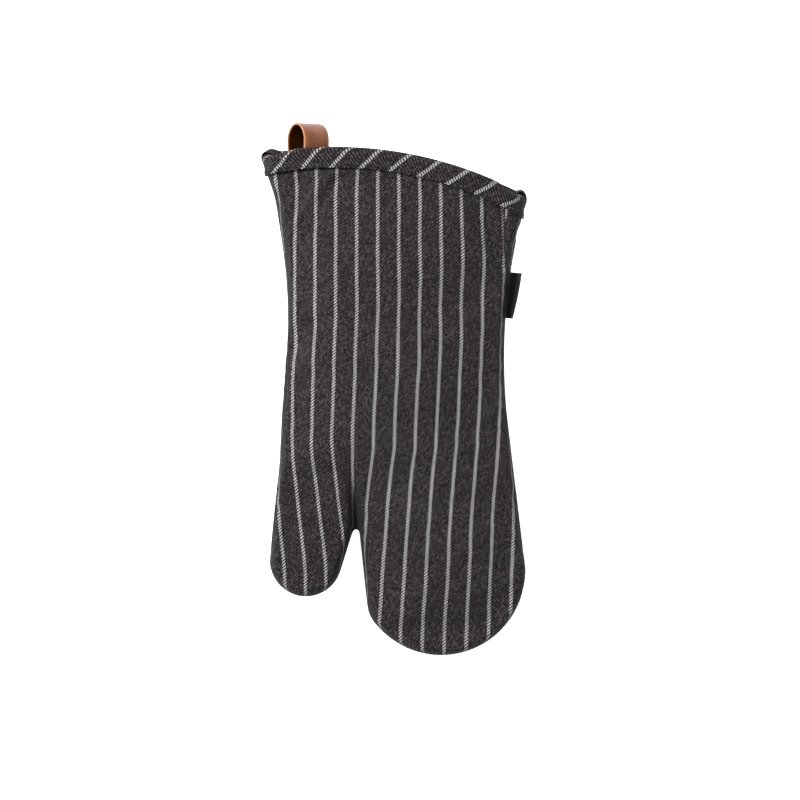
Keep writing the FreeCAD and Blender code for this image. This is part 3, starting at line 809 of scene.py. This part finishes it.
def loop_stations():
    """The strap's middle line and the way across it, from one sewn end round to the other."""
    across, up = LOOP_ACROSS.normalized(), Vector((0, 1, 0))
    out = up.cross(across) * -1
    if out.z < 0:
        out = -out
    top = Vector((LOOP_ROOT.x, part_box("hang_loop")[1].y - STRAP_THICKNESS / 2, LOOP_ROOT.z))
    tail_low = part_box("loop_tails")[0]
    flat_z = tail_low.z + STRAP_THICKNESS
    flat_start = tail_low.y + 0.5 * MM
    stations = []
    for side in (-1, 1):
        points = [top + out * (side * sideways * MM) + up * (along * MM) for sideways, along in LOOP_LINE]
        ways = [across] * len(points)
        bend_top = points[0]
        flat_end = Vector((LOOP_ROOT.x, bend_top.y - 4 * MM, flat_z + side * STRAP_THICKNESS * 0.52))
        flat_first = Vector((LOOP_ROOT.x, flat_start, flat_end.z))
        half = flat_first.lerp(flat_end, 0.5)
        points = [flat_first, half, flat_end] + points
        ways = [Vector((1, 0, 0))] * 3 + ways
        stations.append((curve_through(points, 6), curve_through(ways, 6)))
    low, high = stations
    return low[0] + high[0][::-1][1:], low[1] + high[1][::-1][1:]


def make_strap(name):
    """The leather strip: a rounded rectangle swept along its middle line."""
    centres, ways = loop_stations()
    section = []
    half_width, half_thick, corner = STRAP_WIDTH / 2, STRAP_THICKNESS / 2, 0.45 * MM
    for side in (-1, 1):
        for i in range(9):
            across = side * (half_width - corner) - side * (2 * half_width - 2 * corner) * i / 8
            section.append((across, -side * half_thick))
        for height in (-side * 0.72, 0, side * 0.72):
            section.append((-side * (half_width - (0.12 * MM if height else 0)), height * half_thick))
    vertices, places = [], []
    travelled = 0.0
    for i, (centre, way) in enumerate(zip(centres, ways)):
        ahead = centres[min(i + 1, len(centres) - 1)] - centres[max(i - 1, 0)]
        way = (way - ahead * (way.dot(ahead) / ahead.length_squared)).normalized()
        normal = ahead.cross(way).normalized()
        if i:
            travelled += (centre - centres[i - 1]).length
        for a, b in section:
            vertices.append(centre + way * a + normal * b)
            places.append((a, travelled, b / half_thick))
    grid = len(centres), len(section)
    strap = make_object(name, vertices, grid_faces(*grid) + end_faces(*grid))
    set_vectors(strap, "leather", places)
    face_outwards(strap)
    return strap


def make_loop_stitching(name):
    """The sewn box on the strip's two ends."""
    low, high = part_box("loop_stitching")
    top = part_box("loop_tails")[0].z + 2 * STRAP_THICKNESS + 0.12 * MM
    corners = [Vector((low.x, low.y, top)), Vector((high.x, low.y, top)),
               Vector((high.x, high.y, top)), Vector((low.x, high.y, top))]
    paths = []
    for i, corner in enumerate(corners):
        other = corners[(i + 1) % 4]
        run = other - corner
        count = round(run.length / (3.2 * MM))
        for k in range(count):
            path = []
            for step in range(5):
                t = (k + 0.1 + 0.8 * step / 4) / count
                rise = 0.25 * MM * math.sin(math.pi * step / 4) - 0.1 * MM
                path.append(corner + run * t + Vector((0, 0, rise)))
            paths.append(path)
    return make_object(name, *tube_mesh(paths, 0.3 * MM))


# ---------------------------------------------------------------- side label
LABEL_LENGTH, LABEL_WIDTH, LABEL_TAIL = 30 * MM, 9.0 * MM, 6 * MM
LABEL_CURL, LABEL_LIFT = 46, 32  # how far it curls up at its upper end, and more at its lower, in degrees
CURL_STEPS = 10
FLEX_OUT = 1.2 * MM  # from the side seam out to the label's flex line


def make_label(name):
    """A folded ribbon sewn into the side seam, curling up towards its lower end."""
    along = LABEL_ALONG.normalized()
    out = along.cross(Vector((0, 0, 1))).normalized()
    if out.x < 0:
        out = -out
    up = Vector((0, 0, 1))
    rows = 41
    half = 0.32 * MM
    profile = []
    steps = 14
    for i in range(steps + 1):
        profile.append((-LABEL_TAIL + (LABEL_WIDTH + LABEL_TAIL) * i / steps, half))
    for turn in (45, 90, 135):
        angle = math.radians(turn)
        profile.append((LABEL_WIDTH + half * math.sin(angle), half * math.cos(angle)))
    for i in range(steps + 1):
        profile.append((LABEL_WIDTH - (LABEL_WIDTH + LABEL_TAIL) * i / steps, -half))
    bend_width = LABEL_WIDTH * 0.6
    vertices, places = [], []
    for r in range(rows):
        share = r / (rows - 1)
        down = 1 - share
        curl = math.radians(LABEL_CURL + LABEL_LIFT * down ** 1.5)
        for distance, lift in profile:
            free = max(0.0, distance)
            bend = curl * min(1.0, free / bend_width)
            reach = min(distance, 0.0)
            rise = 0.0
            for k in range(CURL_STEPS):
                here = curl * min(1.0, free * (k + 0.5) / CURL_STEPS / bend_width)
                reach += math.cos(here) * free / CURL_STEPS
                rise += math.sin(here) * free / CURL_STEPS
            point = LABEL_ROOT - out * FLEX_OUT + along * (share - 0.5) * LABEL_LENGTH
            point += out * (reach - lift * math.sin(bend)) + up * (rise + lift * math.cos(bend))
            vertices.append(point)
            places.append((distance, share * LABEL_LENGTH, lift / half))
    label = make_object(name, vertices, grid_faces(rows, len(profile)) + end_faces(rows, len(profile)))
    set_vectors(label, "ribbon", places)
    face_outwards(label)
    return label


# ---------------------------------------------------------------- materials
class Nodes:
    """Short ways to add and join shader nodes of one material."""

    def __init__(self, name):
        self.material = bpy.data.materials.new(name)
        self.material.use_nodes = True
        self.tree = self.material.node_tree
        self.tree.nodes.clear()
        self.output = self.tree.nodes.new("ShaderNodeOutputMaterial")
        self.shader = self.tree.nodes.new("ShaderNodeBsdfPrincipled")
        self.join(self.shader.outputs[0], self.output.inputs[0])

    def join(self, source, target):
        self.tree.links.new(source, target)

    def put(self, target, value):
        """Sets an input to a number or colour, or joins it to another node's output."""
        if isinstance(value, bpy.types.NodeSocket):
            self.join(value, target)
        elif isinstance(value, (tuple, list)) and len(value) == 3 and target.type == "RGBA":
            target.default_value = (*value, 1)
        else:
            target.default_value = value

    def math(self, operation, a, b=0.0):
        node = self.tree.nodes.new("ShaderNodeMath")
        node.operation = operation
        for target, value in zip(node.inputs, (a, b)):
            self.put(target, value)
        return node.outputs[0]

    def add(self, a, b):
        return self.math("ADD", a, b)

    def subtract(self, a, b):
        return self.math("SUBTRACT", a, b)

    def multiply(self, a, b):
        return self.math("MULTIPLY", a, b)

    def fraction(self, a):
        return self.math("FRACT", a)

    def floor(self, a):
        return self.math("FLOOR", a)

    def ramp(self, value, low, high):
        """0 below low, 1 above high, and smooth between."""
        node = self.tree.nodes.new("ShaderNodeMapRange")
        node.interpolation_type = "SMOOTHSTEP"
        for target, number in zip(node.inputs, (value, low, high, 0.0, 1.0)):
            self.put(target, number)
        return node.outputs[0]

    def mix(self, share, a, b):
        node = self.tree.nodes.new("ShaderNodeMix")
        node.data_type = "RGBA"
        self.put(node.inputs[0], share)
        self.put(node.inputs[6], a)
        self.put(node.inputs[7], b)
        return node.outputs[2]

    def noise(self, vector, scale, detail=2.0, roughness=0.5):
        node = self.tree.nodes.new("ShaderNodeTexNoise")
        self.put(node.inputs["Vector"], vector)
        self.put(node.inputs["Scale"], scale)
        self.put(node.inputs["Detail"], detail)
        self.put(node.inputs["Roughness"], roughness)
        return node.outputs["Fac"]

    def cells(self, vector):
        """A random value for each whole-numbered cell."""
        node = self.tree.nodes.new("ShaderNodeTexWhiteNoise")
        node.noise_dimensions = "3D"
        self.put(node.inputs["Vector"], vector)
        return node.outputs["Value"]

    def wave(self, value, pitch):
        """Rounded ribs, 0 between them and 1 on top, a pitch apart."""
        return self.math("ABSOLUTE", self.math("SINE", self.multiply(value, math.pi / pitch)))

    def place(self):
        return self.tree.nodes.new("ShaderNodeTexCoord").outputs["Object"]

    def attribute(self, name):
        node = self.tree.nodes.new("ShaderNodeAttribute")
        node.attribute_name = name
        return node.outputs["Vector"]

    def split(self, vector):
        node = self.tree.nodes.new("ShaderNodeSeparateXYZ")
        self.put(node.inputs[0], vector)
        return node.outputs[0], node.outputs[1], node.outputs[2]

    def vector(self, x, y, z=0.0):
        node = self.tree.nodes.new("ShaderNodeCombineXYZ")
        for target, value in zip(node.inputs, (x, y, z)):
            self.put(target, value)
        return node.outputs[0]

    def bump(self, height, strength, distance, normal=None):
        node = self.tree.nodes.new("ShaderNodeBump")
        node.inputs["Strength"].default_value = strength
        node.inputs["Distance"].default_value = distance
        self.put(node.inputs["Height"], height)
        if normal is not None:
            self.put(node.inputs["Normal"], normal)
        return node.outputs[0]

    def finish(self, **inputs):
        for name, value in inputs.items():
            self.put(self.shader.inputs[name.replace("_", " ")], value)
        return self.material


THREAD_PITCH = 0.43 * MM  # one warp thread to the next
FLOAT_LENGTH = 2.15 * MM  # one float of the twill to the next along a thread
YARN_PITCH, YARN_FLOAT = 0.36 * MM, 2.0 * MM  # the same for the pale yarn of the stripes


def floats(n, u, v, climb, pitch=THREAD_PITCH, length=FLOAT_LENGTH):
    """Twill floats: how high each place on a thread stands, how light it is (with painted shade towards each
    thread's rounded sides), and a random value.

    Each thread's floats start a little above the last thread's, or below it if climb is negative.
    """
    column = n.floor(n.math("DIVIDE", u, pitch))
    across = n.fraction(n.math("DIVIDE", u, pitch))
    place = n.subtract(n.math("DIVIDE", v, length), n.multiply(column, climb))
    row = n.floor(place)
    centred = n.subtract(n.multiply(across, 2.0), 1.0)
    roundness = n.math("SQRT", n.math("MAXIMUM", n.subtract(1.0, n.multiply(centred, centred)), 0.0))
    from_middle = n.math("ABSOLUTE", n.subtract(n.multiply(n.fraction(place), 2.0), 1.0))
    raised = n.ramp(from_middle, 0.82, 0.3)
    # Painted shade: each float is darker towards the rounded sides of its thread.
    light = n.multiply(raised, n.add(n.multiply(roundness, 0.3), 0.7))
    pair = n.floor(n.multiply(column, 0.5))
    return n.multiply(raised, roundness), light, n.cells(n.vector(pair, row))


# Also the colour of the painted shade deep in the folds and on the steep sides, mixed in by twill_material.
DARK_GAP_AND_SHADE = (0.006, 0.005, 0.0053)  # between the twill's threads, and deep in its folds


def twill_material(name, turn=0.0, stripe_offset=0.0, dash_climb=0.16, base_climb=0.25):
    """Charcoal twill with pale pinstripes, along the cloth's own directions.

    The cloth is cut at an angle to the piece's own along and across by a turn, in degrees.
    """
    n = Nodes(name)
    place_u, place_v, _ = n.split(n.attribute("cloth"))
    angle = math.radians(turn)
    u = n.add(n.multiply(place_u, math.cos(angle)), n.multiply(place_v, math.sin(angle)))
    v = n.subtract(n.multiply(place_v, math.cos(angle)), n.multiply(place_u, math.sin(angle)))
    flat = n.vector(u, v)
    wobble = n.multiply(n.subtract(n.noise(flat, 90.0, 3.0), 0.5), 0.5 * MM)
    u = n.add(u, wobble)
    fuzz = n.noise(flat, 5200.0, 3.0, 0.7)
    patch = n.noise(flat, 38.0, 4.0, 0.6)
    speck = n.noise(flat, 620.0, 2.0, 0.8)

    height, lit, chance = floats(n, u, v, base_climb)
    light = n.mix(chance, (0.022, 0.0186, 0.0199), (0.083, 0.0725, 0.0765))
    light = n.mix(n.multiply(n.ramp(patch, 0.45, 0.75), 0.6), light, (0.032, 0.026, 0.0255))
    base = n.mix(lit, DARK_GAP_AND_SHADE, light)
    base = n.mix(n.multiply(n.ramp(speck, 0.44, 0.6), 0.85), base, (0.005, 0.0042, 0.0045))

    dash_height, dash_lit, dash_chance = floats(n, u, v, dash_climb, YARN_PITCH, YARN_FLOAT)
    repeat = n.fraction(n.math("DIVIDE", n.add(u, STRIPE_PITCH / 2 - stripe_offset), STRIPE_PITCH))
    off_stripe = n.multiply(n.math("ABSOLUTE", n.subtract(repeat, 0.5)), STRIPE_PITCH)
    in_stripe = n.ramp(off_stripe, STRIPE_WIDTH * 0.56, STRIPE_WIDTH * 0.47)
    yarn = n.mix(dash_chance, (0.235, 0.227, 0.231), (0.33, 0.322, 0.326))
    stripe = n.mix(n.ramp(dash_lit, 0.2, 0.75), (0.01, 0.0085, 0.009), yarn)
    colour = n.mix(in_stripe, base, stripe)
    # Painted shade: the cloth is darkened on steep sides, by how far its normal tilts from up or down, and in
    # the creases, by the fold attribute.
    _, _, facing = n.split(n.tree.nodes.new("ShaderNodeNewGeometry").outputs["Normal"])
    steep_side_shade = n.ramp(n.math("ABSOLUTE", facing), 0.75, 0.1)
    fold, _, _ = n.split(n.attribute("fold"))
    shade = n.math("MAXIMUM", n.multiply(steep_side_shade, 0.45), n.multiply(n.ramp(fold, 0.0, 0.9), 0.72))
    colour = n.mix(shade, colour, DARK_GAP_AND_SHADE)
    relief, _, _ = n.split(n.mix(in_stripe, n.vector(height, 0.0), n.vector(dash_height, 0.0)))
    relief = n.add(relief, n.multiply(fuzz, 0.5))
    fine = n.bump(relief, 0.5, 0.12 * MM)
    slack = n.noise(flat, 60.0, 3.0)
    normal = n.bump(slack, 0.35, 1.6 * MM, fine)
    return n.finish(Base_Color=colour, Roughness=0.95, Normal=normal, Specular_IOR_Level=0.06,
                    Sheen_Weight=0.02, Sheen_Roughness=0.6)


def lining_material(name):
    n = Nodes(name)
    u, v, _ = n.split(n.attribute("cloth"))
    flat = n.vector(u, v)
    patch = n.noise(flat, 60.0, 3.0)
    weave = n.multiply(n.wave(u, 0.5 * MM), n.wave(v, 0.5 * MM))
    colour = n.mix(weave, (0.02, 0.018, 0.019), n.mix(patch, (0.06, 0.055, 0.056), (0.085, 0.078, 0.08)))
    normal = n.bump(n.add(weave, n.multiply(n.noise(flat, 3000.0), 0.5)), 0.6, 0.12 * MM)
    return n.finish(Base_Color=colour, Roughness=0.95, Normal=normal, Specular_IOR_Level=0.15)


def thread_material(name, dark, light):
    """Twisted sewing thread."""
    n = Nodes(name)
    place = n.place()
    x, y, z = n.split(place)
    twist = n.wave(n.add(n.add(x, y), n.multiply(z, 1.3)), 0.35 * MM)
    colour = n.mix(n.multiply(twist, n.noise(place, 900.0)), dark, light)
    normal = n.bump(twist, 0.5, 0.08 * MM)
    return n.finish(Base_Color=colour, Roughness=0.7, Normal=normal, Specular_IOR_Level=0.3)


def leather_material(name):
    """Smooth tan leather: fine pores, tide marks, burnished edges, and a rough back face of the hide painted
    near black as the shade inside the loop.
    """
    n = Nodes(name)
    across, along, face = n.split(n.attribute("leather"))
    place = n.vector(across, along, n.multiply(face, 2 * MM))
    cloud = n.noise(place, 120.0, 5.0, 0.6)
    pores = n.tree.nodes.new("ShaderNodeTexVoronoi")
    pores.feature = "DISTANCE_TO_EDGE"
    n.put(pores.inputs["Vector"], place)
    n.put(pores.inputs["Scale"], 1500.0)
    pore = n.ramp(pores.outputs["Distance"], 0.0, 0.12)
    grain = n.mix(n.ramp(cloud, 0.3, 0.7), (0.15, 0.05, 0.017), (0.23, 0.085, 0.032))
    grain = n.mix(n.multiply(n.subtract(1.0, pore), 0.35), grain, (0.12, 0.04, 0.014))
    # The back face is painted near black: shade inside the loop, on top of its rough texture.
    flesh_with_painted_shade = n.mix(n.noise(place, 700.0, 4.0, 0.7), (0.016, 0.004, 0.001), (0.034, 0.01, 0.0025))
    is_flesh = n.ramp(face, 0.2, -0.2)
    is_edge = n.ramp(n.math("ABSOLUTE", face), 0.93, 0.6)
    colour = n.mix(is_flesh, grain, flesh_with_painted_shade)
    edge = n.mix(n.noise(place, 900.0, 3.0), (0.3, 0.12, 0.05), (0.42, 0.2, 0.1))
    colour = n.mix(is_edge, colour, edge)
    rub = n.ramp(n.math("ABSOLUTE", across), 8.2 * MM, 9.7 * MM)
    colour = n.mix(n.multiply(rub, 0.3), colour, (0.34, 0.15, 0.07))
    rough = n.add(0.4, n.multiply(n.add(is_flesh, is_edge), 0.3))
    height = n.add(n.multiply(pore, 0.4), n.multiply(n.noise(place, 500.0, 4.0), 0.6))
    return n.finish(Base_Color=colour, Roughness=rough, Normal=n.bump(height, 0.25, 0.1 * MM),
                    Specular_IOR_Level=n.multiply(n.subtract(1.0, is_flesh), 0.35))


def ribbon_material(name):
    """Black satin-woven ribbon with finer woven borders and nothing written on it."""
    n = Nodes(name)
    across, along, _ = n.split(n.attribute("ribbon"))
    ribs, warp = n.wave(along, 0.34 * MM), n.wave(across, 0.28 * MM)
    weave = n.multiply(n.add(n.multiply(ribs, 0.65), 0.35), n.add(n.multiply(warp, 0.5), 0.5))
    cloud = n.noise(n.vector(across, along), 200.0, 3.0)
    half = LABEL_LENGTH / 2
    from_middle = n.math("ABSOLUTE", n.subtract(along, half))
    near_end = n.ramp(from_middle, half - 1.6 * MM, half - 1.1 * MM)
    thread = n.mix(cloud, (0.007, 0.0065, 0.0075), (0.014, 0.013, 0.0145))
    colour = n.mix(weave, (0.002, 0.002, 0.0023), thread)
    colour = n.mix(n.multiply(near_end, 0.35), colour, (0.022, 0.02, 0.023))
    normal = n.bump(n.add(weave, n.multiply(near_end, 0.6)), 0.5, 0.1 * MM)
    return n.finish(Base_Color=colour, Roughness=0.6, Normal=normal, Specular_IOR_Level=0.2,
                    Sheen_Weight=0.04)


def wadding_material(name):
    n = Nodes(name)
    fibre = n.noise(n.place(), 900.0, 5.0, 0.7)
    colour = n.mix(fibre, (0.62, 0.59, 0.54), (0.82, 0.8, 0.76))
    return n.finish(Base_Color=colour, Roughness=1.0, Normal=n.bump(fibre, 0.6, 0.5 * MM))


def paper_material(name):
    """The pale floor."""
    n = Nodes(name)
    return n.finish(Base_Color=(0.93, 0.93, 0.93), Roughness=0.9, Specular_IOR_Level=0.1,
                    Emission_Color=(1, 1, 1), Emission_Strength=0.95)


def paint(piece, material):
    piece.data.materials.clear()
    piece.data.materials.append(material)


# ---------------------------------------------------------------- the pieces
twill = twill_material("twill", stripe_offset=STRIPE_START)
bias = twill_material("bias_twill", turn=-45.0, stripe_offset=-4.3 * MM, dash_climb=-0.073, base_climb=-0.054)
lining_cloth = lining_material("lining_cloth")
dark_thread = thread_material("dark_thread", (0.006, 0.005, 0.006), (0.03, 0.027, 0.03))
tan_thread = thread_material("tan_thread", (0.1, 0.05, 0.02), (0.3, 0.17, 0.09))
leather = leather_material("leather")
ribbon = ribbon_material("ribbon")
wadding = wadding_material("wadding")

panel_front, panel_back = make_shell()
for panel, nodes in ((panel_front, ["outer_front"]), (panel_back, ["outer_back"])):
    thicken(panel, CLOTH * 0.8)
    paint(panel, twill)
    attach(panel, "mitt")
    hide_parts(*nodes)

sides = (("front", 1, FRONT_RISE, FRONT_CROWN), ("back", -1, BACK_RISE, BACK_CROWN))
for side, sign, rise, crown in sides:
    lining = make_lining(f"lining_cloth_{side}", sign, rise, crown)
    paint(lining, lining_cloth)
    cuff = Cuff(sign, rise, crown, 181)
    binding = make_binding(f"cuff_binding_{side}", cuff)
    paint(binding, bias)
    stitches = make_binding_thread(f"binding_stitches_{side}", cuff)
    paint(stitches, dark_thread)
    for piece, node, slot in ((lining, f"lining_{side}", "lining"),
                              (binding, f"binding_{side}", "bias_twill"),
                              (stitches, f"binding_thread_{side}", "thread")):
        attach(piece, "mitt")
        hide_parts(node)
    paint(frame["nodes"][f"wadding_{side}"], wadding)
    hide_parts(f"wadding_{side}")

paint(frame["nodes"]["perimeter_thread"], dark_thread)

strap = make_strap("leather_strap")
paint(strap, leather)
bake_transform(strap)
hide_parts("hang_loop", "loop_tails")

loop_stitches = make_loop_stitching("loop_stitches")
paint(loop_stitches, tan_thread)
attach(loop_stitches, "mitt")
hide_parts("loop_stitching")

label = make_label("woven_label")
paint(label, ribbon)
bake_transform(label)
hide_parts("side_label", "side_label_tail")

# ---------------------------------------------------------------- floor, lights and camera
REACH = 6  # of the floor each way, in metres
floor_corners = [(-REACH, -REACH, 0), (REACH, -REACH, 0), (REACH, REACH, 0), (-REACH, REACH, 0)]
floor = make_object("floor", floor_corners, [(0, 1, 2, 3)], smooth=False)
paint(floor, paper_material("paper"))


def area_light(name, place, size, power):
    """A round soft light aimed at the origin."""
    data = bpy.data.lights.new(name, "AREA")
    data.shape = "DISK"
    data.size, data.energy = size, power
    light = add_object(name, data)
    light.location = place
    light.rotation_euler = (-Vector(place)).to_track_quat("-Z", "Y").to_euler()


area_light("key", (-1.0, 0.6, 1.25), size=0.6, power=47)
area_light("fill", (1.0, -0.5, 1.4), size=1.4, power=5)
area_light("overhead", (0.1, -0.2, 2.3), size=1.8, power=8)

world = bpy.data.worlds.new("studio")
bpy.context.scene.world = world
world.use_nodes = True
sky = world.node_tree.nodes["Background"]
sky.inputs["Color"].default_value = (1, 1, 1, 1)
sky.inputs["Strength"].default_value = 0.5

camera_data = bpy.data.cameras.new("camera")
camera_data.lens = 180
camera_data.sensor_width = 36
camera = add_object("camera", camera_data)
VIEW_CENTRE = (3.6 * MM, -7.15 * MM)
VIEW_WIDTH = 520 * MM  # of what the picture shows at the level of the mitt's middle
PIECE_LEVEL = 20 * MM
camera.location = (*VIEW_CENTRE, PIECE_LEVEL + VIEW_WIDTH * camera_data.lens / camera_data.sensor_width)
bpy.context.scene.camera = camera
bpy.context.scene.view_settings.view_transform = "Standard"
